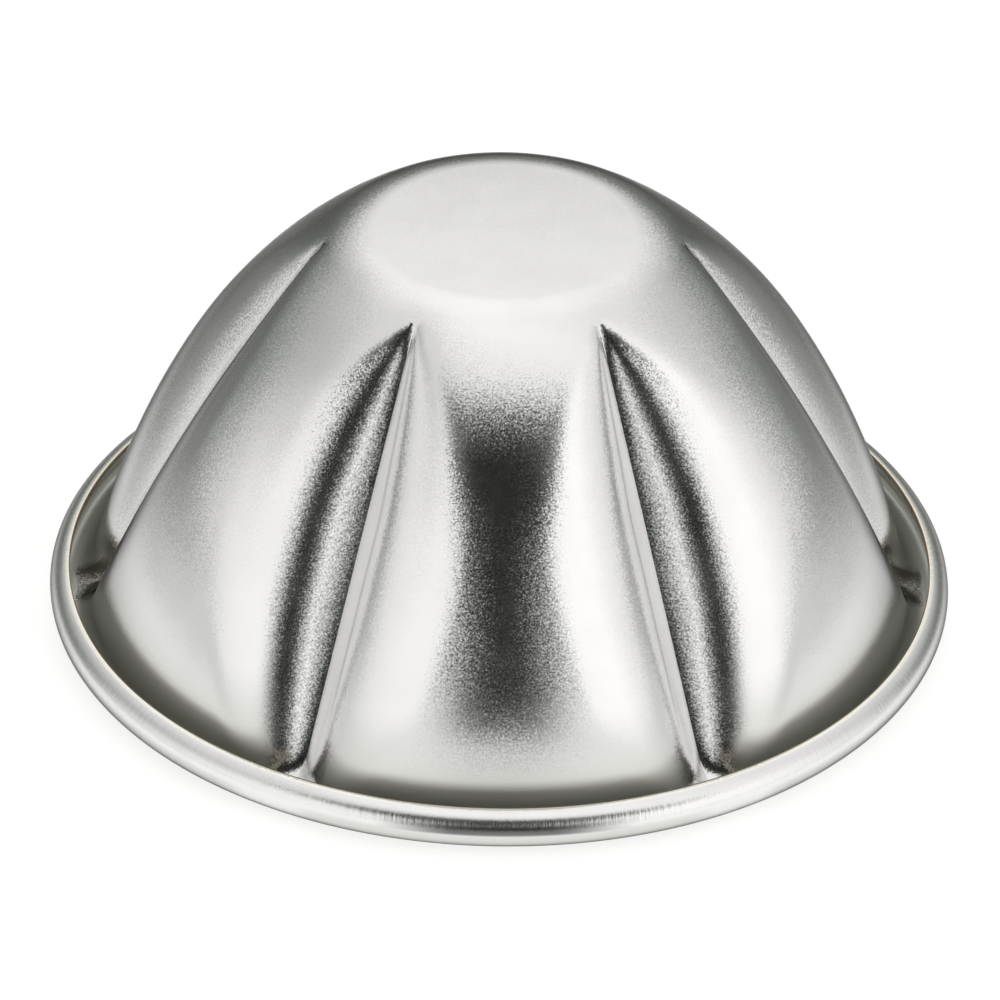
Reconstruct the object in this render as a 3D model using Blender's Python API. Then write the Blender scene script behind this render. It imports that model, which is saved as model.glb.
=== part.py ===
"""Small jelly mould, pressed from one disc of aluminium sheet and standing on its rim, closed end up.

The flat round end goes over a rounded crown into a domed wall. Straight V grooves with hollow flanks
part the wall into petals. At the foot the wall turns out into a narrow flange, each groove runs out
over it in a small sloping pocket, and the flange ends in an open roll.

Metres, +Z up. The origin is on the table, under the middle of the mould. Azimuth is measured from -Y
towards +X, and the middle of one petal faces -Y. A row is a ring round the mould, and a column is a
line from the closed end down to the raw edge. The place of a column is 0 in the valley of a groove,
1 at the outer edge of its flank and 2 in the middle of the petal.
"""

import math

import bpy
import numpy as np

MM = 0.001

# Sheet and overall height
SHEET = 0.4 * MM
HEIGHT = 37.2 * MM

# Closed end and crown
END_RADIUS = 11.1 * MM
CROWN_RADIUS = 8.0 * MM
CROWN_TURN = math.radians(33.0)

# Domed wall, from the crown down to the flange
FOOT_RADIUS = 37.7 * MM
FOOT_FILLET = 1.4 * MM
FOOT_SLOPE = math.radians(80.5)
WALL_TOP_HOLD = 0.44
WALL_FOOT_HOLD = 0.11

# Grooves between the petals
GROOVE_COUNT = 6
GROOVE_FOOT_INSET = 3.4 * MM
FLANK_TIP_WIDTH = 0.4 * MM
FLANK_WIDTH = 2.25 * MM
FLANK_RUN = 16.0 * MM
FLANK_FOOT_WIDTH = 0.85 * MM
FLANK_FOOT_RUN = 26.0 * MM
FLANK_SHARE = 0.55
VALLEY_RISE = math.radians(26.0)
FLANK_RISE = math.radians(40.0)

# Pocket that takes each groove out over the flange
POCKET_SHARE = 0.12
POCKET_INSET = 0.4 * MM
TROUGH_HOLD = 0.58

# Flange and open roll
FLANGE_WIDTH = 0.2 * MM
ROLL_RADIUS = 1.8 * MM
ROLL_SWEEP = math.radians(180.0)

# Faces along the profile and across half a petal
CROWN_STEPS = 4
WALL_STEPS = 12
FILLET_STEPS = 4
ROLL_STEPS = 10
FLANK_STEPS = 2
PETAL_STEPS = 5
PETAL_CROWDING = 1.25
SLOPE_STEP = 1e-4

ALUMINIUM_COLOUR = (0.82, 0.82, 0.80, 1.0)
ALUMINIUM_ROUGHNESS = 0.3


def clear_scene():
    """Remove every object of the open scene."""
    for old in list(bpy.data.objects):
        bpy.data.objects.remove(old, do_unlink=True)


def satin_aluminium():
    """Bare aluminium with a satin surface."""
    material = bpy.data.materials.new("satin_aluminium")
    material.use_nodes = True
    shader = material.node_tree.nodes["Principled BSDF"]
    shader.inputs["Base Color"].default_value = ALUMINIUM_COLOUR
    shader.inputs["Metallic"].default_value = 1.0
    shader.inputs["Roughness"].default_value = ALUMINIUM_ROUGHNESS
    return material


def crown_end():
    """Radius and height of the point where the crown's arc meets the wall."""
    radius = END_RADIUS + CROWN_RADIUS * math.sin(CROWN_TURN)
    height = HEIGHT - CROWN_RADIUS * (1.0 - math.cos(CROWN_TURN))
    return np.array([radius, height])


def wall_end():
    """Radius and height of the point where the wall meets the fillet at its foot."""
    radius = FOOT_RADIUS - FOOT_FILLET * math.sin(FOOT_SLOPE)
    height = SHEET + FOOT_FILLET * (1.0 - math.cos(FOOT_SLOPE))
    return np.array([radius, height])


def crown_profile(steps):
    """Arc of CROWN_RADIUS that turns the flat end down by CROWN_TURN: radius, height, slope."""
    slope = np.linspace(0.0, CROWN_TURN, steps + 1)
    radius = END_RADIUS + CROWN_RADIUS * np.sin(slope)
    height = HEIGHT - CROWN_RADIUS * (1.0 - np.cos(slope))
    return radius, height, slope


def wall_profile(share):
    """Cubic curve from the crown (share 0) to the foot (share 1): radius, height, slope.

    It leaves the crown at CROWN_TURN and reaches the foot at FOOT_SLOPE. The two holds say how far
    the curve keeps to each end's direction, as a share of the straight distance between the ends.
    """
    start, end = crown_end(), wall_end()
    reach = np.linalg.norm(end - start)
    down = np.array([math.cos(CROWN_TURN), -math.sin(CROWN_TURN)])
    out = np.array([math.cos(FOOT_SLOPE), -math.sin(FOOT_SLOPE)])
    first = start + WALL_TOP_HOLD * reach * down
    second = end - WALL_FOOT_HOLD * reach * out
    u = share[..., None]
    v = 1.0 - u
    point = v**3 * start + 3.0 * v**2 * u * first + 3.0 * v * u**2 * second + u**3 * end
    along = v**2 * (first - start) + 2.0 * v * u * (second - first) + u**2 * (end - second)
    return point[..., 0], point[..., 1], np.arctan2(-along[..., 1], along[..., 0])


def valley_line():
    """Start, direction and length of a groove's straight valley, as radius and height.

    It runs from the crown's end to a point on the flange, GROOVE_FOOT_INSET inside the foot.
    """
    top = crown_end()
    foot = np.array([FOOT_RADIUS - GROOVE_FOOT_INSET, SHEET])
    length = np.linalg.norm(foot - top)
    return top, (foot - top) / length, length


def valley_depth(radius, height, slope):
    """Depth of the groove's valley below the plain profile, and its distance down the valley.

    The depth is measured from the profile along its own normal, until that normal meets the line.
    """
    top, along, length = valley_line()
    across = np.array([-along[1], along[0]])
    offset = (radius - top[0]) * across[0] + (height - top[1]) * across[1]
    lean = np.sin(slope) * across[0] + np.cos(slope) * across[1]
    run = (radius - top[0]) * along[0] + (height - top[1]) * along[1]
    depth = np.where(run > 0.0, np.maximum(offset / lean, 0.0), 0.0)
    return depth, np.clip(run, 0.0, length)


def flank_width(run):
    """Width of a groove's flank at a distance down the valley.

    It grows from FLANK_TIP_WIDTH to FLANK_WIDTH at FLANK_RUN, keeps that width down to
    FLANK_FOOT_RUN, and narrows to FLANK_FOOT_WIDTH at the valley's foot.
    """
    runs = [0.0, FLANK_RUN, FLANK_FOOT_RUN, valley_line()[2]]
    return np.interp(run, runs, [FLANK_TIP_WIDTH, FLANK_WIDTH, FLANK_WIDTH, FLANK_FOOT_WIDTH])


def groove_depth(depth, width, across):
    """Depth of the groove at a distance across from its middle plane.

    A hollow flank rises from the valley, its rise growing from VALLEY_RISE to FLANK_RISE. It makes
    up at most FLANK_SHARE of the depth. An arc then rolls it over into the petal for the rest.
    """
    low, high = math.tan(VALLEY_RISE), math.tan(FLANK_RISE)
    flank_end = np.minimum(width, FLANK_SHARE * depth * 2.0 / (low + high))
    hollow = (high - low) / (2.0 * np.maximum(flank_end, 1e-9))
    left = depth - flank_end * (low + high) / 2.0
    shoulder = np.maximum(left / (1.0 - math.cos(FLANK_RISE)), 1e-9)
    flank = depth - low * across - hollow * across**2
    inside = np.clip(flank_end + shoulder * math.sin(FLANK_RISE) - across, 0.0, shoulder)
    arc = shoulder - np.sqrt(shoulder**2 - inside**2)
    return np.where(across < flank_end, flank, arc)


def half_petal_angles(radius, run, place):
    """Angle of each column from the groove's plane, where the plain profile has that radius.

    Columns up to place 1 share out the flank's width, the others the rest of the half petal.
    """
    width = flank_width(run)
    inner = np.arcsin(np.minimum(place, 1.0) * width / radius)
    beyond = np.maximum(place - 1.0, 0.0) ** PETAL_CROWDING
    return inner + (math.pi / GROOVE_COUNT - np.arcsin(width / radius)) * beyond


def pressed_share(place):
    """Share of the groove's full depth that is left at each column, at the foot of the wall."""
    radius, height, slope = wall_profile(np.ones(place.size))
    depth, run = valley_depth(radius, height, slope)
    across = radius * np.sin(half_petal_angles(radius, run, place))
    return groove_depth(depth, flank_width(run), across) / depth


def wall_rows(share, place):
    """Points of the grooved wall over half a petal, a row for each share of the way down.

    The columns in the groove stop short of the wall's foot, and the pocket goes on from there.
    """
    stop = 1.0 - POCKET_SHARE * pressed_share(place)
    radius, height, slope = wall_profile(share[:, None] * stop)
    depth, run = valley_depth(radius, height, slope)
    angle = half_petal_angles(radius, run, place)
    pressed = groove_depth(depth, flank_width(run), radius * np.sin(angle))
    return turned(radius - pressed * np.sin(slope), angle, height - pressed * np.cos(slope))


def turned(radius, angle, height):
    """Points at a radius, an angle from the groove's plane and a height."""
    return np.stack([radius * np.cos(angle), radius * np.sin(angle), height + 0.0 * angle], axis=-1)


def crown_rows(place):
    """Points of the crown over half a petal, from the closed end's edge to just above the wall."""
    radius, height, slope = (values[:-1, None] for values in crown_profile(CROWN_STEPS))
    start = np.array(crown_end()[0])
    angle = half_petal_angles(start, np.zeros(1), place)
    return turned(radius, np.broadcast_to(angle, (CROWN_STEPS, place.size)), height)


def foot_rows(place):
    """Points of the foot's fillet and pocket: from the wall's end down and out onto the flange.

    Each column is a cubic curve. It leaves the wall in the wall's own direction and comes in level
    on the flange. TROUGH_HOLD says how far it keeps to each of the two directions.
    """
    before, end = wall_rows(np.array([1.0 - SLOPE_STEP, 1.0]), place)
    along = (end - before) / np.linalg.norm(end - before, axis=-1, keepdims=True)
    drop = end[:, 2] - SHEET
    slope = np.arctan2(-along[:, 2], np.hypot(along[:, 0], along[:, 1]))
    first = end + TROUGH_HOLD * along * (drop / np.sin(slope))[:, None]
    angle = np.arctan2(end[:, 1], end[:, 0])
    ring = FOOT_RADIUS - POCKET_INSET * pressed_share(place)
    meeting = np.hypot(end[:, 0], end[:, 1]) + drop / np.tan(slope)
    last = turned(ring, angle, SHEET)
    second = turned(ring - TROUGH_HOLD * (ring - meeting), angle, SHEET)
    u = np.linspace(0.0, 1.0, FILLET_STEPS + 1)[1:, None, None]
    v = 1.0 - u
    return v**3 * end + 3.0 * v**2 * u * first + 3.0 * v * u**2 * second + u**3 * last


def roll_rows(angle):
    """Points of the inner face of the open roll, from the flange outwards, up and in to the raw edge."""
    turn = np.linspace(0.0, ROLL_SWEEP, ROLL_STEPS + 1)
    radius = FOOT_RADIUS + FLANGE_WIDTH + (ROLL_RADIUS - SHEET) * np.sin(turn)
    height = ROLL_RADIUS - (ROLL_RADIUS - SHEET) * np.cos(turn)
    return turned(radius[:, None], angle[None, :], height[:, None])


def places():
    """Places of the columns over half a petal, from the valley to the middle of the petal."""
    flank = np.linspace(0.0, 1.0, FLANK_STEPS + 1)
    petal = np.linspace(1.0, 2.0, PETAL_STEPS + 1)
    return np.concatenate([flank, petal[1:]])


def half_petal():
    """Points of half a petal's upper face, row by row from the closed end to the raw edge."""
    place = places()
    wall = wall_rows(np.linspace(0.0, 1.0, WALL_STEPS + 1), place)
    foot = foot_rows(place)
    angle = np.arctan2(foot[-1, :, 1], foot[-1, :, 0])
    return np.concatenate([crown_rows(place), wall, foot, roll_rows(angle)])


def sheet_rows():
    """Points of the sheet's upper face: half petals, every second one mirrored, set all round."""
    half = half_petal()
    mirrored = half[:, :0:-1] * np.array([1.0, -1.0, 1.0])
    petal = np.concatenate([mirrored, half[:, :-1]], axis=1)
    azimuth = math.pi / GROOVE_COUNT * (2.0 * np.arange(GROOVE_COUNT) + 1.0)
    x = [petal[..., 0] * math.sin(turn) + petal[..., 1] * math.cos(turn) for turn in azimuth]
    y = [petal[..., 1] * math.sin(turn) - petal[..., 0] * math.cos(turn) for turn in azimuth]
    height = np.tile(petal[..., 2], GROOVE_COUNT)
    return np.stack([np.hstack(x), np.hstack(y), height], axis=-1)


def sheet_mesh(rows):
    """Mesh of the upper face: one flat polygon for the closed end and rings of quads below it."""
    steps, around = rows.shape[:2]
    index = np.arange(steps * around).reshape(steps, around)
    following = np.roll(index, -1, axis=1)
    quads = np.stack([index[:-1], index[1:], following[1:], following[:-1]], axis=-1)
    faces = [index[0].tolist()] + quads.reshape(-1, 4).tolist()
    mesh = bpy.data.meshes.new("mould_shell")
    mesh.from_pydata(rows.reshape(-1, 3).tolist(), [], faces)
    mesh.validate()
    mesh.shade_smooth()
    mesh.set_sharp_from_angle(angle=math.radians(35.0))
    return mesh


def mould_shell():
    """The whole mould: the upper face of the sheet, thickened downwards to SHEET."""
    shell = bpy.data.objects.new("mould_shell", sheet_mesh(sheet_rows()))
    bpy.context.scene.collection.objects.link(shell)
    shell.data.materials.append(satin_aluminium())
    thickness = shell.modifiers.new("sheet", "SOLIDIFY")
    thickness.thickness = SHEET
    thickness.offset = -1.0
    thickness.use_even_offset = True
    return shell


clear_scene()
mould_shell()
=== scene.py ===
"""Looks of a small aluminium jelly mould, standing on its rolled rim with the closed end up.

The mould is one pressed sheet. Azimuth is measured from -Y towards +X, the middle of one petal faces
-Y, and lengths are in metres. A row is a ring round the mould, a column a line from the closed end
down to the raw edge.
"""

import math

import bpy
import numpy as np
from mathutils import Matrix, Vector


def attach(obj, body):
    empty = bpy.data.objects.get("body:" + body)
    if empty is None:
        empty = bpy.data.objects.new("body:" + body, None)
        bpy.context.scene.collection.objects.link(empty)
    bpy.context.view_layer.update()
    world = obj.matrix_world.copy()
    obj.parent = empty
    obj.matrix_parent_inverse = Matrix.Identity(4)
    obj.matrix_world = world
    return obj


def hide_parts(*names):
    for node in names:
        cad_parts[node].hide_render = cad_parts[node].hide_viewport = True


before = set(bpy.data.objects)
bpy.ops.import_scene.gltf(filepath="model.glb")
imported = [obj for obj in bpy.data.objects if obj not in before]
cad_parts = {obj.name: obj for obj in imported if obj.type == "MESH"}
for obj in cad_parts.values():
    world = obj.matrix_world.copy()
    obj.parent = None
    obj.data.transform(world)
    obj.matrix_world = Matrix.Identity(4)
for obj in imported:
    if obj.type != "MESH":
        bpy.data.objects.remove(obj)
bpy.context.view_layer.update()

MM = 0.001

# Pressed form of the sheet
SHEET = 0.4 * MM
HEIGHT = 37.2 * MM
END_RADIUS = 11.1 * MM
CROWN_RADIUS = 8.0 * MM
CROWN_TURN = math.radians(33.0)
FOOT_RADIUS = 37.7 * MM
FOOT_FILLET = 1.4 * MM
FOOT_SLOPE = math.radians(80.5)
WALL_TOP_HOLD = 0.44
WALL_FOOT_HOLD = 0.11
GROOVE_COUNT = 6
GROOVE_FOOT_INSET = 3.4 * MM
FLANK_TIP_WIDTH = 0.4 * MM
FLANK_WIDTH = 2.25 * MM
FLANK_RUN = 16.0 * MM
FLANK_FOOT_WIDTH = 0.85 * MM
FLANK_FOOT_RUN = 26.0 * MM
FLANK_SHARE = 0.55
VALLEY_RISE = math.radians(26.0)
FLANK_RISE = math.radians(40.0)
POCKET_SHARE = 0.12
POCKET_INSET = 0.4 * MM
TROUGH_HOLD = 0.58
FLANGE_WIDTH = 0.2 * MM
ROLL_RADIUS = 1.8 * MM
ROLL_SWEEP = math.radians(180.0)

# Rows and columns of the fine surface
CROWN_STEPS = 8
WALL_STEPS = 32
FILLET_STEPS = 6
ROLL_STEPS = 28
FLANK_STEPS = 12
PETAL_STEPS = 40
PETAL_CROWDING = 1.25
SLOPE_STEP = 1e-4
SMALLEST = 1e-9
SHARP_ANGLE = math.radians(30.0)

# Colours of the metal: clean; painted shade in the gutter, under the roll, towards the foot and in the
# pressed line; painted shade in the roll's hollow; a painted reflection of the dark gap on the roll's
# front; a painted highlight on its crest; and its raw edge, with a painted brown reflection on its
# outer face
CLEAN_COLOURS = ((0.862, 0.86, 0.857, 1.0), (0.902, 0.90, 0.897, 1.0))
PAINTED_SHADE_COLOUR = (0.66, 0.665, 0.62, 1.0)
HOLLOW_SHADE_COLOUR = (0.16, 0.15, 0.12, 1.0)
FRONT_REFLECTION_COLOUR = (0.13, 0.135, 0.13, 1.0)
CREST_HIGHLIGHT_COLOUR = (1.0, 0.985, 0.90, 1.0)
EDGE_REFLECTION_COLOUR = (0.42, 0.30, 0.18, 1.0)
EDGE_COLOUR = (0.97, 0.96, 0.93, 1.0)
EDGE_TINT = (0.15, 0.15, 0.145, 1.0)

# How far the painted shade towards the foot, the painted reflection on the roll's front and the painted
# shade in the pressed line take on their colour
DULL_SHADE_SHARE = 0.65
FRONT_REFLECTION_SHARE = 0.95
LINE_SHADE_SHARE = 0.7

# Roughness: clean metal (from cloud to cloud), closed end, dull foot, shaded gutter, roll and raw edge
SATIN_ROUGHNESS = (0.165, 0.2)
END_ROUGHNESS = 0.26
DULL_ROUGHNESS = 0.28
GUTTER_ROUGHNESS = 0.55
ROLL_ROUGHNESS = 0.24
RAW_ROUGHNESS = 0.5

# Noise: scale, detail and roughness
CLOUD_NOISE = (160.0, 3.0, 0.55)
GRAIN_NOISE = (6500.0, 1.0, 0.6)
WRINKLE_NOISE = (2600.0, 4.0, 0.7)
CLOUD_RANGE = (0.3, 0.7)

# Grain: the tilt of its normals, and the share of it on the smooth foot and the closed end
GRAIN_TILT = 0.26
SMOOTH_TILT_SHARE = 0.3
END_HEIGHTS = (HEIGHT - 0.12 * MM, HEIGHT - 0.02 * MM)

# Fine relief: its depth, and the wrinkles on the roll, stretched down the wrap
RELIEF_DEPTH = 0.012 * MM
WRINKLE_SQUEEZE = (1.0, 1.0, 0.12)
WRINKLE_GAIN = 2.5
WRAP_RADIUS = 40.0 * MM

# Line pressed beside a groove: distance from the groove's plane at the top and further down, half
# width in millimetres, and depth as a share of RELIEF_DEPTH
LINE_TIP_WIDTH = 0.35 * MM
LINE_WIDTH = 1.95 * MM
LINE_HALF_WIDTH = 0.3
LINE_DEPTH = -1.5

# Where each finish and painted shade begins and ends on the wall: heights, flank widths and shares of
# the groove
LINE_HEIGHTS = (4.0 * MM, 9.0 * MM)
LINE_FLANKS = (0.3 * MM, 0.9 * MM)
GUTTER_HEIGHTS = (2.8 * MM, 4.9 * MM)
SMOOTH_HEIGHTS = (6.0 * MM, 17.0 * MM)
DULL_SHADE_HEIGHTS = (4.0 * MM, 10.0 * MM)
POCKET_SHARES = (0.0, 0.5)

# Where each finish, painted shade and painted reflection begins and ends on the roll, in radians of its
# turn
ROLL_TURNS = (0.0, 0.6)
UNDER_ROLL_SHADE_TURNS = (0.4, 1.2)
HOLLOW_TURNS = (1.1, 1.8)
DULL_SHADE_TURNS = (1.5, 1.8)
WRINKLE_TURNS = ((1.2, 1.7), (2.2, 2.7))
FRONT_REFLECTION_TURNS = ((1.6, 1.7), (2.0, 2.25))

# Sides of the painted reflection on the roll's front, as the sine of half the azimuth
FRONT_REFLECTION_SIDES = (0.05, 0.15)

# Raw edge: its share on the last rows, the shares where the painted crest highlight and the cut edge
# with its painted reflection begin and end, and the softness of the bound between the roll's outer face
# and its hollow side
EDGE_ROWS = (0.0, 0.5, 0.5, 1.0)
CREST_RANGE = (0.1, 0.5)
CUT_EDGE_RANGE = (0.6, 0.9)
FACE_SOFTNESS = 0.05 * MM

# Floor: half its side, its roughness, its colour and added level near and far, and the distances
# over which painted shade fades it behind the mould and beside it, where it fades more further back
FLOOR_HALF = 20.0
FLOOR_ROUGHNESS = 0.9
FLOOR_COLOURS = ((0.55, 0.55, 0.55, 1.0), (0.16, 0.16, 0.16, 1.0))
FLOOR_LEVELS = (0.65, 0.16)
FLOOR_FADE = (118.0 * MM, 260.0 * MM)
FLOOR_SIDE_FADE = (52.0 * MM, 95.0 * MM)
FLOOR_BACKWARDS = (0.0, 110.0 * MM)
FLOOR_SIDE_SHARES = (0.48, 0.95)

# Camera: the direction it stands in, its roll and distance, its lens, and the point it looks at
CAMERA_AZIMUTH = math.radians(-1.17)
CAMERA_ELEVATION = math.radians(33.088)
CAMERA_ROLL = math.radians(0.978)
CAMERA_DISTANCE = 580.0 * MM
CAMERA_LENS = 237.53
CAMERA_SENSOR = 36.0
CAMERA_REACH = (10.0 * MM, 100.0)
CAMERA_TARGET = (-0.05 * MM, 0.0, 9.577 * MM)


def crown_end():
    """Radius and height of the point where the crown's arc meets the wall."""
    radius = END_RADIUS + CROWN_RADIUS * math.sin(CROWN_TURN)
    height = HEIGHT - CROWN_RADIUS * (1.0 - math.cos(CROWN_TURN))
    return np.array([radius, height])


def wall_end():
    """Radius and height of the point where the wall meets the fillet at its foot."""
    radius = FOOT_RADIUS - FOOT_FILLET * math.sin(FOOT_SLOPE)
    height = SHEET + FOOT_FILLET * (1.0 - math.cos(FOOT_SLOPE))
    return np.array([radius, height])


def crown_profile(steps):
    """Arc of CROWN_RADIUS that turns the flat end down by CROWN_TURN: radius, height, slope."""
    slope = np.linspace(0.0, CROWN_TURN, steps + 1)
    radius = END_RADIUS + CROWN_RADIUS * np.sin(slope)
    height = HEIGHT - CROWN_RADIUS * (1.0 - np.cos(slope))
    return radius, height, slope


def wall_profile(share):
    """Cubic curve from the crown (share 0) to the foot (share 1): radius, height, slope.

    Its two inner points lie on the end directions, at the two holds' shares of the straight distance.
    """
    start, end = crown_end(), wall_end()
    reach = np.linalg.norm(end - start)
    down = np.array([math.cos(CROWN_TURN), -math.sin(CROWN_TURN)])
    out = np.array([math.cos(FOOT_SLOPE), -math.sin(FOOT_SLOPE)])
    first = start + WALL_TOP_HOLD * reach * down
    second = end - WALL_FOOT_HOLD * reach * out
    u = share[..., None]
    v = 1.0 - u
    point = v**3 * start + 3.0 * v**2 * u * first + 3.0 * v * u**2 * second + u**3 * end
    along = v**2 * (first - start) + 2.0 * v * u * (second - first) + u**2 * (end - second)
    return point[..., 0], point[..., 1], np.arctan2(-along[..., 1], along[..., 0])


def valley_line():
    """Start, direction and length of a groove's straight valley, as radius and height."""
    top = crown_end()
    foot = np.array([FOOT_RADIUS - GROOVE_FOOT_INSET, SHEET])
    length = np.linalg.norm(foot - top)
    return top, (foot - top) / length, length


def valley_depth(radius, height, slope):
    """Depth of a groove's valley under the profile, along its normal, and the run down the valley."""
    top, along, length = valley_line()
    across = np.array([-along[1], along[0]])
    offset = (radius - top[0]) * across[0] + (height - top[1]) * across[1]
    lean = np.sin(slope) * across[0] + np.cos(slope) * across[1]
    run = (radius - top[0]) * along[0] + (height - top[1]) * along[1]
    depth = np.where(run > 0.0, np.maximum(offset / lean, 0.0), 0.0)
    return depth, np.clip(run, 0.0, length)


def flank_width(run):
    """Width of a groove's flank down the valley: it widens, stays, and narrows again to the foot."""
    runs = [0.0, FLANK_RUN, FLANK_FOOT_RUN, valley_line()[2]]
    return np.interp(run, runs, [FLANK_TIP_WIDTH, FLANK_WIDTH, FLANK_WIDTH, FLANK_FOOT_WIDTH])


def groove_section(depth, width, across):
    """Groove depth at a distance across from its plane, and where its flank ends.

    A hollow flank rises from the valley, its rise growing from VALLEY_RISE to FLANK_RISE. Where it
    ends, an arc rolls it over into the petal and makes up the rest of the depth.
    """
    low, high = math.tan(VALLEY_RISE), math.tan(FLANK_RISE)
    flank_end = np.minimum(width, FLANK_SHARE * depth * 2.0 / (low + high))
    safe_end = np.maximum(flank_end, SMALLEST)
    left = depth - flank_end * (low + high) / 2.0
    shoulder = np.maximum(left / (1.0 - math.cos(FLANK_RISE)), SMALLEST)
    flank = depth - low * across - (high - low) * across**2 / (2.0 * safe_end)
    inside = np.clip(flank_end + shoulder * math.sin(FLANK_RISE) - across, 0.0, shoulder)
    arc = shoulder - np.sqrt(shoulder**2 - inside**2)
    return np.where(across < flank_end, flank, arc), flank_end


def half_petal(radius, run, place):
    """Angle from the groove's plane of each column, from the valley to the middle of the petal.

    Columns up to place 1 share out the flank's width, the others the rest of the half petal.
    """
    width = flank_width(run)
    edge = np.arcsin(width / radius)
    inner = np.arcsin(np.minimum(place, 1.0) * width / radius)
    beyond = np.maximum(place - 1.0, 0.0) ** PETAL_CROWDING
    return inner + (math.pi / GROOVE_COUNT - edge) * beyond


def pressed_share(place):
    """Share of the groove's full depth that is left at each column, at the foot of the wall."""
    radius, height, slope = wall_profile(np.ones(place.size))
    depth, run = valley_depth(radius, height, slope)
    across = radius * np.sin(half_petal(radius, run, place))
    return groove_section(depth, flank_width(run), across)[0] / depth


def petal_wall(share, place):
    """Rows of the crown and the grooved wall over half a petal, in the petal's own polar frame.

    Gives radius, height, angle from the groove's plane, distance across it, the flank's end and the
    run down the valley. The columns in the groove stop short of the wall's foot, and the pocket goes
    on from there.
    """
    stop = 1.0 - POCKET_SHARE * pressed_share(place)
    crown = [values[:-1, None] + 0.0 * stop for values in crown_profile(CROWN_STEPS)]
    wall = wall_profile(share[:, None] * stop)
    radius, height, slope = (np.vstack(pair) for pair in zip(crown, wall))
    depth, run = valley_depth(radius, height, slope)
    angle = half_petal(radius, run, place)
    across = radius * np.sin(angle)
    pressed, flank_end = groove_section(depth, flank_width(run), across)
    new_radius = radius - pressed * np.sin(slope)
    new_height = height - pressed * np.cos(slope)
    return new_radius, new_height, angle, across, flank_end, run


def cylinder_point(radius, angle, height):
    """Points at a radius, an angle from the groove's plane and a height."""
    return np.stack([radius * np.cos(angle), radius * np.sin(angle), height + 0.0 * angle], axis=-1)


def trough(place):
    """Curve that takes each column from the wall's end down and out onto the flat ring."""
    near = np.array([1.0 - SLOPE_STEP, 1.0])
    radius, height, angle = petal_wall(near, place)[:3]
    before, end = cylinder_point(radius, angle, height)[-2:]
    angle = angle[-1]
    along = (end - before) / np.linalg.norm(end - before, axis=-1, keepdims=True)
    first = end + TROUGH_HOLD * along * ((end[:, 2] - SHEET) / -along[:, 2])[:, None]
    ring = FOOT_RADIUS - POCKET_INSET * pressed_share(place)
    meeting = np.hypot(end[:, 0], end[:, 1]) + (end[:, 2] - SHEET) / np.tan(slope_of(along))
    last = cylinder_point(ring, angle, SHEET)
    second = cylinder_point(ring - TROUGH_HOLD * (ring - meeting), angle, SHEET)
    u = np.linspace(0.0, 1.0, FILLET_STEPS + 1)[1:, None, None]
    v = 1.0 - u
    return v**3 * end + 3.0 * v**2 * u * first + 3.0 * v * u**2 * second + u**3 * last


def slope_of(along):
    """Slope of a direction below the horizontal."""
    return np.arctan2(-along[:, 2], np.hypot(along[:, 0], along[:, 1]))


def roll_profile():
    """Inner face of the open roll, from the flange outwards, up and in to the raw edge."""
    turn = np.linspace(0.0, ROLL_SWEEP, ROLL_STEPS + 1)
    radius = FOOT_RADIUS + FLANGE_WIDTH + (ROLL_RADIUS - SHEET) * np.sin(turn)
    height = ROLL_RADIUS - (ROLL_RADIUS - SHEET) * np.cos(turn)
    return radius, height, turn


def smooth_step(value, low, high):
    """0 below low, 1 above high, and a smooth cubic rise between them."""
    share = np.clip((value - low) / (high - low), 0.0, 1.0)
    return share * share * (3.0 - 2.0 * share)


def fade_out(value, ends):
    """1 below the first end, 0 above the second, and a smooth cubic fall between them."""
    return 1.0 - smooth_step(value, *ends)


def all_round(half):
    """Values of half a petal, mirrored and repeated for every groove round the mould."""
    ring = np.concatenate([half[:, :0:-1], half[:, :-1]], axis=1)
    return np.concatenate([ring] * GROOVE_COUNT, axis=1)


def carried_on(values, rows, value):
    """Values on the rows of the wall, and one value on a number of rows below it."""
    return np.vstack([values, np.full((rows, values.shape[1]), value)])


def petal_masks(wall, place, turn):
    """Masks over half a petal: the pressed line and how far off it is (millimetres), the finish, and
    the painted shade in the gutter, under the roll and towards the foot.
    """
    _, height, _, across, flank_end, run = wall
    below = FILLET_STEPS + turn.size
    line = np.interp(run, [0.0, FLANK_RUN], [LINE_TIP_WIDTH, LINE_WIDTH])
    off_line = np.minimum(np.abs(across - line) / MM, 1.0)
    pressed = smooth_step(flank_end, *LINE_FLANKS) * smooth_step(height, *LINE_HEIGHTS)
    open_wall = fade_out(pressed_share(place), POCKET_SHARES)
    # Painted shade: the gutter at the wall's foot and the flange under the roll are darkened, and made
    # rougher
    gutter = carried_on(fade_out(height, GUTTER_HEIGHTS), FILLET_STEPS, 1.0) * open_wall
    under_roll = np.tile(fade_out(turn, UNDER_ROLL_SHADE_TURNS)[:, None], place.size)
    # Painted shade towards the foot: the lower wall and the lower roll are darkened, and made rougher
    dull_and_shade = carried_on(fade_out(height, DULL_SHADE_HEIGHTS), below, 1.0) * open_wall
    dull_and_shade[-turn.size:] *= fade_out(turn, DULL_SHADE_TURNS)[:, None]
    return {
        "off_line": carried_on(off_line, below, 1.0),
        "pressed_line": carried_on(pressed, below, 0.0),
        "shaded_gutter": np.vstack([gutter, under_roll]),
        "dull_and_shade": dull_and_shade,
        "smooth_foot": carried_on(fade_out(height, SMOOTH_HEIGHTS), below, 1.0) * open_wall,
    }


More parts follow.
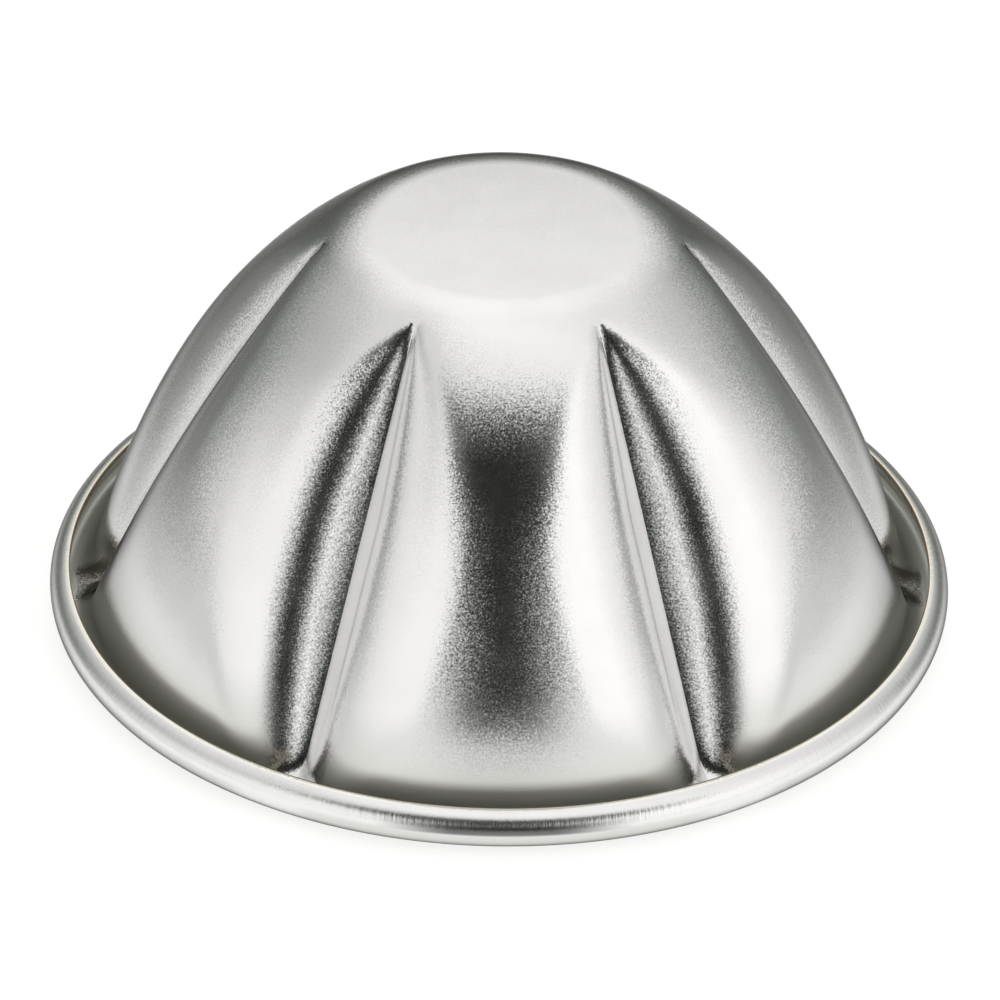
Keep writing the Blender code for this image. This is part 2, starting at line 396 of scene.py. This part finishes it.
def roll_masks(turn, azimuth):
    """Masks over the roll, from its turn. Only the painted reflection in front depends on the azimuth.
    """
    wrinkled = smooth_step(turn, *WRINKLE_TURNS[0]) * fade_out(turn, WRINKLE_TURNS[1])
    # Painted reflection of the dark gap, on the front of the roll's outer face
    front_reflection = FRONT_REFLECTION_SHARE * smooth_step(turn, *FRONT_REFLECTION_TURNS[0]) * fade_out(turn, FRONT_REFLECTION_TURNS[1])
    front = fade_out(np.abs(np.sin(azimuth / 2.0)), FRONT_REFLECTION_SIDES)
    raw_edge = np.zeros(turn.size)
    raw_edge[-len(EDGE_ROWS):] = EDGE_ROWS
    return {
        "roll": smooth_step(turn, *ROLL_TURNS)[:, None],
        "wrinkled": wrinkled[:, None],
        "roll_front_reflection": front_reflection[:, None] * front,
        # Painted shade in the roll's hollow
        "hollow_roll_shade": smooth_step(turn, *HOLLOW_TURNS)[:, None],
        "raw_edge": raw_edge[:, None],
    }


def column_places():
    """Places over half a petal: 0 in the valley, 1 at the flank's edge, 2 in the petal's middle."""
    flank = np.linspace(0.0, 1.0, FLANK_STEPS + 1)
    return np.concatenate([flank, np.linspace(1.0, 2.0, PETAL_STEPS + 1)[1:]])


def petal_rows(wall, roll, place):
    """Radius, height and angle from the groove's plane over half a petal: wall, trough and roll."""
    bend = trough(place)
    bend_angle = np.arctan2(bend[..., 1], bend[..., 0])
    roll_radius, roll_height, turn = (np.tile(values[:, None], place.size) for values in roll)
    radius = np.vstack([wall[0], np.hypot(bend[..., 0], bend[..., 1]), roll_radius])
    height = np.vstack([wall[1], bend[..., 2], roll_height])
    angle = np.vstack([wall[2], bend_angle, np.broadcast_to(bend_angle[-1], turn.shape)])
    return radius, height, angle


def wrapped(points, azimuth):
    """Points on a cylinder of WRAP_RADIUS, as far down it as they are down their column."""
    step = np.linalg.norm(np.diff(points, axis=0), axis=-1)
    down = np.vstack([np.zeros(azimuth.shape[1]), np.cumsum(step, axis=0)])
    return np.stack([np.sin(azimuth) * WRAP_RADIUS, -np.cos(azimuth) * WRAP_RADIUS, down], axis=-1)


def sheet_surface():
    """Points of the sheet's upper face, the masks its finish follows, and its wrap, row by row."""
    place = column_places()
    wall = petal_wall(np.linspace(0.0, 1.0, WALL_STEPS + 1), place)
    roll = roll_profile()
    turn = roll[2]
    radius, height, angle = (all_round(values) for values in petal_rows(wall, roll, place))
    half_columns = place.size - 1
    side = np.tile(np.repeat([-1.0, 1.0], half_columns), GROOVE_COUNT)
    groove = np.repeat(np.arange(GROOVE_COUNT), 2 * half_columns)
    azimuth = math.pi / GROOVE_COUNT * (2.0 * groove + 1.0) + side * angle
    points = np.stack([radius * np.sin(azimuth), -radius * np.cos(azimuth), height], axis=-1)
    masks = {name: all_round(half) for name, half in petal_masks(wall, place, turn).items()}
    masks["pressed_line"] *= 1.0 - (groove + (side > 0.0)) % 2
    for name, rows in roll_masks(turn, azimuth[-1]).items():
        masks[name] = np.zeros(radius.shape)
        masks[name][-turn.size:] = rows
    return points, masks, wrapped(points, azimuth)


def sheet_mesh(points, masks, wrap):
    """Mesh of the upper face: one flat polygon for the closed end and rings of quads below it."""
    steps, around = points.shape[:2]
    index = np.arange(steps * around).reshape(steps, around)
    following = np.roll(index, -1, axis=1)
    quads = np.stack([index[:-1], index[1:], following[1:], following[:-1]], axis=-1)
    faces = [index[0].tolist()] + quads.reshape(-1, 4).tolist()
    mesh = bpy.data.meshes.new("pressed_sheet")
    mesh.from_pydata(points.reshape(-1, 3).tolist(), [], faces)
    for name, values in masks.items():
        mesh.attributes.new(name, "FLOAT", "POINT").data.foreach_set("value", values.ravel())
    mesh.attributes.new("wrap", "FLOAT_VECTOR", "POINT").data.foreach_set("vector", wrap.ravel())
    mesh.shade_smooth()
    mesh.set_sharp_from_angle(angle=SHARP_ANGLE)
    return mesh


def add(tree, kind, inputs=None, **settings):
    """A node of that kind, with its settings, and its inputs set to values or linked to sockets."""
    node = tree.nodes.new(kind)
    for name, value in settings.items():
        setattr(node, name, value)
    for name, value in (inputs or {}).items():
        if isinstance(value, bpy.types.NodeSocket):
            tree.links.new(value, node.inputs[name])
        else:
            node.inputs[name].default_value = value
    return node


def calc(tree, operation, *values):
    """Output of a Math node that works on the values."""
    node = add(tree, "ShaderNodeMath", dict(enumerate(values)), operation=operation)
    return node.outputs[0]


def smooth_range(tree, value, low, high, start=0.0, end=1.0):
    """Output that goes smoothly from start to end as value goes from low to high."""
    inputs = {"Value": value, "From Min": low, "From Max": high, "To Min": start, "To Max": end}
    node = add(tree, "ShaderNodeMapRange", inputs, interpolation_type="SMOOTHSTEP")
    return node.outputs["Result"]


def ramp(tree, value, stops):
    """Output of a Color Ramp with the stops (place, level), as a grey level."""
    node = add(tree, "ShaderNodeValToRGB", {"Fac": value})
    elements = node.color_ramp.elements
    while len(elements) < len(stops):
        elements.new(1.0)
    for element, (place, level) in zip(elements, stops):
        element.position = place
        element.color = (level, level, level, 1.0)
    return node.outputs["Color"]


def blend(tree, share, first, second):
    """Output that goes from the first value to the second as share goes from 0 to 1."""
    node = add(tree, "ShaderNodeMix", {"Factor": share, "A": first, "B": second})
    return node.outputs["Result"]


def attribute(tree, name, output="Fac"):
    """Output of the mesh attribute with that name."""
    return add(tree, "ShaderNodeAttribute", attribute_name=name).outputs[output]


def noise(tree, place, scale, detail, roughness, output="Fac"):
    """Output of a Noise Texture."""
    inputs = {"Vector": place, "Scale": scale, "Detail": detail, "Roughness": roughness}
    return add(tree, "ShaderNodeTexNoise", inputs).outputs[output]


def colour_blend(tree, share, first, second):
    """Output that goes from the first colour to the second as share goes from 0 to 1."""
    inputs = {"Factor": share, "A": first, "B": second}
    return add(tree, "ShaderNodeMix", inputs, data_type="RGBA").outputs["Result"]


def vector_calc(tree, operation, *values):
    """Output of a Vector Math node that works on the vectors."""
    node = add(tree, "ShaderNodeVectorMath", dict(enumerate(values)), operation=operation)
    return node.outputs["Vector"]


def scaled(tree, vector, amount):
    """The vector times an amount."""
    node = add(tree, "ShaderNodeVectorMath", {"Vector": vector, "Scale": amount}, operation="SCALE")
    return node.outputs["Vector"]


def distance(tree, first, second):
    """Length of the long side of a right triangle with these two short sides."""
    squares = [calc(tree, "MULTIPLY", side, side) for side in (first, second)]
    return calc(tree, "SQRT", calc(tree, "ADD", *squares))


def pressed_line(tree):
    """Share of a fine line beside the grooves, on every second petal."""
    line = smooth_range(tree, attribute(tree, "off_line"), 0.0, LINE_HALF_WIDTH, 1.0, 0.0)
    return calc(tree, "MULTIPLY", line, attribute(tree, "pressed_line"))


def grained(tree, place, normal, amount):
    """The normal, tilted at random from grain to grain."""
    colour = noise(tree, place, *GRAIN_NOISE, output="Color")
    tilt = scaled(tree, vector_calc(tree, "SUBTRACT", colour, (0.5, 0.5, 0.5)), amount)
    return vector_calc(tree, "NORMALIZE", vector_calc(tree, "ADD", normal, tilt))


def relief(tree):
    """Height of the fine relief: the wrinkles on the roll and the line pressed beside the grooves."""
    squeeze = vector_calc(tree, "MULTIPLY", attribute(tree, "wrap", "Vector"), WRINKLE_SQUEEZE)
    wrinkle = calc(tree, "SUBTRACT", noise(tree, squeeze, *WRINKLE_NOISE), 0.5)
    strength = calc(tree, "MULTIPLY_ADD", attribute(tree, "wrinkled"), WRINKLE_GAIN, 1.0)
    strength = calc(tree, "MULTIPLY", strength, attribute(tree, "roll"))
    wrinkle = calc(tree, "MULTIPLY", wrinkle, strength)
    return calc(tree, "ADD", wrinkle, calc(tree, "MULTIPLY", pressed_line(tree), LINE_DEPTH))


def inside_roll(tree, place):
    """Share of the roll's hollow side: 1 nearer to the roll's middle than half way into the sheet."""
    axes = add(tree, "ShaderNodeSeparateXYZ", {"Vector": place}).outputs
    radius = distance(tree, axes["X"], axes["Y"])
    out = calc(tree, "SUBTRACT", radius, FOOT_RADIUS + FLANGE_WIDTH)
    up = calc(tree, "SUBTRACT", axes["Z"], ROLL_RADIUS)
    middle = ROLL_RADIUS - SHEET / 2.0
    reach = distance(tree, out, up)
    return smooth_range(tree, reach, middle - FACE_SOFTNESS, middle + FACE_SOFTNESS, 1.0, 0.0)


def grained_relief(tree, place, closed_end):
    """Normal of the metal: fine relief and grain, the grain weaker on the closed end and the foot."""
    inputs = {"Height": relief(tree), "Strength": 1.0, "Distance": RELIEF_DEPTH}
    bump = add(tree, "ShaderNodeBump", inputs).outputs["Normal"]
    smooth = calc(tree, "MAXIMUM", attribute(tree, "smooth_foot"), closed_end)
    tilt = smooth_range(tree, smooth, 0.0, 1.0, GRAIN_TILT, SMOOTH_TILT_SHARE * GRAIN_TILT)
    return grained(tree, place, bump, tilt)


def metal_roughness(tree, cloud, closed_end, shaded_gutter, raw_edge):
    """Roughness of the metal: cloudy satin, and rougher where it is dull, in the shaded gutter, rolled
    or cut.
    """
    rough = blend(tree, cloud, *SATIN_ROUGHNESS)
    rough = blend(tree, closed_end, rough, END_ROUGHNESS)
    rough = blend(tree, attribute(tree, "dull_and_shade"), rough, DULL_ROUGHNESS)
    rough = blend(tree, shaded_gutter, rough, GUTTER_ROUGHNESS)
    rough = blend(tree, attribute(tree, "roll"), rough, ROLL_ROUGHNESS)
    return blend(tree, raw_edge, rough, RAW_ROUGHNESS)


def metal_colour(tree, place, cloud, shaded_gutter, raw_edge):
    """Colour of the metal: clean and cloudy, painted shade towards the foot, in the gutter, in the
    roll's hollow and in the pressed line, a painted reflection on the roll's front and raw edge, and a
    painted highlight on the crest.
    """
    colour = colour_blend(tree, cloud, *CLEAN_COLOURS)
    # Painted shade towards the foot
    dull_and_shade = calc(tree, "MULTIPLY", attribute(tree, "dull_and_shade"), DULL_SHADE_SHARE)
    colour = colour_blend(tree, dull_and_shade, colour, PAINTED_SHADE_COLOUR)
    # Painted shade in the gutter and under the roll
    colour = colour_blend(tree, shaded_gutter, colour, PAINTED_SHADE_COLOUR)
    inside = inside_roll(tree, place)
    outside = calc(tree, "SUBTRACT", 1.0, inside)
    # Painted reflection of the dark gap on the roll's front
    front_reflection = calc(tree, "MULTIPLY", attribute(tree, "roll_front_reflection"), outside)
    colour = colour_blend(tree, front_reflection, colour, FRONT_REFLECTION_COLOUR)
    # Painted shade in the roll's hollow
    hollow = calc(tree, "MULTIPLY", attribute(tree, "hollow_roll_shade"), inside)
    colour = colour_blend(tree, hollow, colour, HOLLOW_SHADE_COLOUR)
    # Painted highlight on the roll's crest
    crest_highlight = smooth_range(tree, attribute(tree, "raw_edge"), *CREST_RANGE)
    colour = colour_blend(tree, crest_highlight, colour, CREST_HIGHLIGHT_COLOUR)
    # Painted brown reflection on the raw edge's outer face; its hollow side keeps the pale colour of
    # the cut edge
    edge_reflection = colour_blend(tree, inside, EDGE_REFLECTION_COLOUR, EDGE_COLOUR)
    colour = colour_blend(tree, raw_edge, colour, edge_reflection)
    # Painted shade in the fine line pressed beside the grooves
    line = calc(tree, "MULTIPLY", pressed_line(tree), LINE_SHADE_SHARE)
    return colour_blend(tree, line, colour, PAINTED_SHADE_COLOUR)


def satin_aluminium():
    """Bare aluminium with a fine grain, painted shade in the gutter, a painted reflection on the roll's
    front, and wrinkles on the roll.
    """
    material = bpy.data.materials.new("satin_aluminium_fine")
    material.use_nodes = True
    tree = material.node_tree
    shader = tree.nodes["Principled BSDF"]
    place = add(tree, "ShaderNodeTexCoord").outputs["Object"]
    height = add(tree, "ShaderNodeSeparateXYZ", {"Vector": place}).outputs["Z"]
    closed_end = smooth_range(tree, height, *END_HEIGHTS)
    cloud = smooth_range(tree, noise(tree, place, *CLOUD_NOISE), *CLOUD_RANGE)
    shaded_gutter = attribute(tree, "shaded_gutter")
    raw_edge = smooth_range(tree, attribute(tree, "raw_edge"), *CUT_EDGE_RANGE)
    tree.links.new(grained_relief(tree, place, closed_end), shader.inputs["Normal"])
    colour = metal_colour(tree, place, cloud, shaded_gutter, raw_edge)
    tree.links.new(colour, shader.inputs["Base Color"])
    rough = metal_roughness(tree, cloud, closed_end, shaded_gutter, raw_edge)
    tree.links.new(rough, shader.inputs["Roughness"])
    shader.inputs["Metallic"].default_value = 1.0
    shader.inputs["Specular Tint"].default_value = EDGE_TINT
    return material


# Studio light, azimuth in degrees and level: near the table, half way up and high up
TABLE_LEVELS = (
    (-180.0, 0.34),
    (-160.0, 0.20),
    (-140.0, 0.18),
    (-122.0, 0.22),
    (-112.0, 0.42),
    (-105.0, 0.68),
    (-96.0, 0.79),
    (-80.0, 0.90),
    (-60.0, 1.00),
    (25.0, 1.10),
    (60.0, 1.13),
    (78.0, 0.98),
    (92.0, 0.88),
    (103.0, 0.78),
    (111.0, 0.46),
    (118.0, 0.28),
    (130.0, 0.22),
    (150.0, 0.19),
    (180.0, 0.34),
)
MIDDLE_LEVELS = (
    (-180.0, 1.20),
    (-160.0, 0.82),
    (-145.0, 0.56),
    (-110.0, 0.50),
    (-85.0, 0.58),
    (-68.0, 0.68),
    (-50.0, 0.95),
    (30.0, 1.10),
    (66.0, 1.12),
    (80.0, 0.95),
    (95.0, 0.78),
    (112.0, 0.62),
    (140.0, 0.60),
    (160.0, 0.84),
    (180.0, 1.20),
)
HIGH_LEVELS = (
    (-180.0, 1.06),
    (-160.0, 1.02),
    (-140.0, 0.86),
    (-110.0, 0.76),
    (-75.0, 0.75),
    (-50.0, 0.76),
    (40.0, 0.95),
    (65.0, 0.98),
    (115.0, 0.84),
    (140.0, 0.87),
    (160.0, 1.00),
    (180.0, 1.06),
)
CEILING_LEVEL = 1.02
TABLE_TO_MIDDLE = (12.0, 36.0)
MIDDLE_TO_HIGH = (34.0, 56.0)
HIGH_TO_CEILING = (62.0, 80.0)

# Dark gap: its levels in the middle and at the sides. In degrees: its soft bound, its foot and top,
# the slot's half width and middle over elevation, and the arch that the slot opens into
GAP_LEVEL = 0.008
GAP_SIDE_LEVEL = 0.07
GAP_SIDE = 30.0
GAP_SOFTNESS = 11.0
GAP_FOOT = (-7.0, 3.0)
GAP_TOP = (55.0, 68.0)
GAP_TOP_ROUNDING = 0.0025
SLOT_WIDENING = (21.0, 42.0, 16.5, 26.0)
SLOT_LEANING = (16.0, 32.0, 1.2, -1.0)
ARCH_OPENING = (33.0, 41.0)
ARCH_WIDENING = 24.0
ARCH_SHIFT = -1.4

# Tint of the light where it is dark and where it is pale, and the levels between
SHADE_TINT = (0.92, 1.0, 0.88, 1.0)
LIGHT_TINT = (1.008, 1.0, 0.99, 1.0)
TINT_LEVELS = (0.05, 0.7)


def surround(tree, azimuth, elevation):
    """Level of the pale studio round the mould: three rings of levels, blended over elevation."""
    place = calc(tree, "MULTIPLY_ADD", azimuth, 1.0 / 360.0, 0.5)
    rings = [
        ramp(tree, place, [(0.5 + turn / 360.0, level) for turn, level in levels])
        for levels in (TABLE_LEVELS, MIDDLE_LEVELS, HIGH_LEVELS)
    ]
    level = blend(tree, smooth_range(tree, elevation, *TABLE_TO_MIDDLE), rings[0], rings[1])
    level = blend(tree, smooth_range(tree, elevation, *MIDDLE_TO_HIGH), level, rings[2])
    return blend(tree, smooth_range(tree, elevation, *HIGH_TO_CEILING), level, CEILING_LEVEL)


def dark_gap(tree, azimuth, elevation):
    """Share and level of the dark gap behind the camera.

    It is a narrow upright slot that opens into a wide arch. The arch is paler and lower at its sides.
    """
    opening = smooth_range(tree, elevation, *ARCH_OPENING)
    half = calc(tree, "ADD", smooth_range(tree, elevation, *SLOT_WIDENING), GAP_SOFTNESS)
    half = calc(tree, "MULTIPLY_ADD", opening, ARCH_WIDENING, half)
    leaning = smooth_range(tree, elevation, *SLOT_LEANING)
    middle = calc(tree, "MULTIPLY_ADD", opening, ARCH_SHIFT, leaning)
    off = calc(tree, "ABSOLUTE", calc(tree, "SUBTRACT", azimuth, middle))
    side = calc(tree, "POWER", calc(tree, "MULTIPLY", off, 1.0 / GAP_SIDE), 2.0)
    side = calc(tree, "MULTIPLY", side, opening)
    level = calc(tree, "MULTIPLY_ADD", side, GAP_SIDE_LEVEL, GAP_LEVEL)
    beyond = calc(tree, "SUBTRACT", off, half)
    gap = smooth_range(tree, beyond, -2.0 * GAP_SOFTNESS, 0.0, 1.0, 0.0)
    gap = calc(tree, "MULTIPLY", gap, smooth_range(tree, elevation, *GAP_FOOT))
    height = calc(tree, "MULTIPLY_ADD", calc(tree, "MULTIPLY", off, off), GAP_TOP_ROUNDING, elevation)
    return calc(tree, "MULTIPLY", gap, smooth_range(tree, height, *GAP_TOP, 1.0, 0.0)), level


def studio_light():
    """World: a pale overhead and two pale sides, a dark back near the table and a dark gap in front."""
    world = bpy.data.worlds.new("studio")
    bpy.context.scene.world = world
    world.use_nodes = True
    tree = world.node_tree
    direction = add(tree, "ShaderNodeTexCoord").outputs["Generated"]
    axes = add(tree, "ShaderNodeSeparateXYZ", {"Vector": direction}).outputs
    turn = calc(tree, "ARCTAN2", axes["X"], calc(tree, "MULTIPLY", axes["Y"], -1.0))
    azimuth = calc(tree, "DEGREES", turn)
    elevation = calc(tree, "DEGREES", calc(tree, "ARCSINE", axes["Z"]))
    level = surround(tree, azimuth, elevation)
    gap, gap_level = dark_gap(tree, azimuth, elevation)
    level = blend(tree, gap, level, gap_level)
    shade = smooth_range(tree, level, *TINT_LEVELS)
    colour = scaled(tree, colour_blend(tree, shade, SHADE_TINT, LIGHT_TINT), level)
    tree.links.new(colour, tree.nodes["Background"].inputs["Color"])


def floor_paint():
    """Pale paint, brighter to the eye and in reflections, so that it reads as white.

    Far behind and beside the mould painted shade fades its colour and added level to a pale grey.
    """
    material = bpy.data.materials.new("pale_floor")
    material.use_nodes = True
    tree = material.node_tree
    shader = tree.nodes["Principled BSDF"]
    shader.inputs["Roughness"].default_value = FLOOR_ROUGHNESS
    shader.inputs["Specular IOR Level"].default_value = 0.0
    path = add(tree, "ShaderNodeLightPath").outputs
    seen = calc(tree, "MAXIMUM", path["Is Camera Ray"], path["Is Glossy Ray"])
    seen = calc(tree, "MAXIMUM", seen, path["Is Transmission Ray"])
    place = add(tree, "ShaderNodeTexCoord").outputs["Object"]
    axes = add(tree, "ShaderNodeSeparateXYZ", {"Vector": place}).outputs
    # Painted shade: colour and added level fall off far behind and beside the mould
    behind = smooth_range(tree, axes["Y"], *FLOOR_FADE)
    off = calc(tree, "ABSOLUTE", axes["X"])
    beside = smooth_range(tree, off, *FLOOR_SIDE_FADE)
    most = smooth_range(tree, axes["Y"], *FLOOR_BACKWARDS, *FLOOR_SIDE_SHARES)
    fade = calc(tree, "MAXIMUM", behind, calc(tree, "MULTIPLY", beside, most))
    colour = colour_blend(tree, fade, *FLOOR_COLOURS)
    tree.links.new(colour, shader.inputs["Base Color"])
    level = blend(tree, fade, *FLOOR_LEVELS)
    tree.links.new(calc(tree, "MULTIPLY", seen, level), shader.inputs["Emission Strength"])
    shader.inputs["Emission Color"].default_value = (1.0, 1.0, 1.0, 1.0)
    return material


def pale_floor():
    """Wide flat floor under the mould."""
    mesh = bpy.data.meshes.new("floor")
    corners = FLOOR_HALF * np.array([(-1, -1, 0), (1, -1, 0), (1, 1, 0), (-1, 1, 0)])
    mesh.from_pydata(corners.tolist(), [], [(0, 1, 2, 3)])
    mesh.materials.append(floor_paint())
    floor = bpy.data.objects.new("floor", mesh)
    bpy.context.scene.collection.objects.link(floor)


def camera():
    """Long-lens camera that looks down at the front petal, rolled slightly clockwise."""
    azimuth, elevation = CAMERA_AZIMUTH, CAMERA_ELEVATION
    out = math.cos(elevation)
    back = Vector((math.sin(azimuth) * out, -math.cos(azimuth) * out, math.sin(elevation)))
    level = Vector((math.cos(azimuth), math.sin(azimuth), 0.0))
    upright = back.cross(level)
    right = level * math.cos(CAMERA_ROLL) + upright * math.sin(CAMERA_ROLL)
    up = upright * math.cos(CAMERA_ROLL) - level * math.sin(CAMERA_ROLL)
    target = Matrix.Rotation(azimuth, 3, "Z") @ Vector(CAMERA_TARGET)
    data = bpy.data.cameras.new("camera")
    data.lens = CAMERA_LENS
    data.sensor_width = CAMERA_SENSOR
    data.clip_start, data.clip_end = CAMERA_REACH
    eye = bpy.data.objects.new("camera", data)
    turned = Matrix((right, up, back)).transposed().to_4x4()
    eye.matrix_world = Matrix.Translation(target + back * CAMERA_DISTANCE) @ turned
    bpy.context.scene.collection.objects.link(eye)
    bpy.context.scene.camera = eye


def mould():
    """The whole mould: the upper face, thickened downwards to SHEET."""
    shell = bpy.data.objects.new("pressed_sheet", sheet_mesh(*sheet_surface()))
    bpy.context.scene.collection.objects.link(shell)
    shell.data.materials.append(satin_aluminium())
    thickness = shell.modifiers.new("sheet", "SOLIDIFY")
    thickness.thickness = SHEET
    thickness.offset = -1.0
    thickness.use_even_offset = True
    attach(shell, "root")
    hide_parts("mould_shell")


camera()
studio_light()
pale_floor()
mould()
bpy.context.scene.view_settings.view_transform = "Standard"
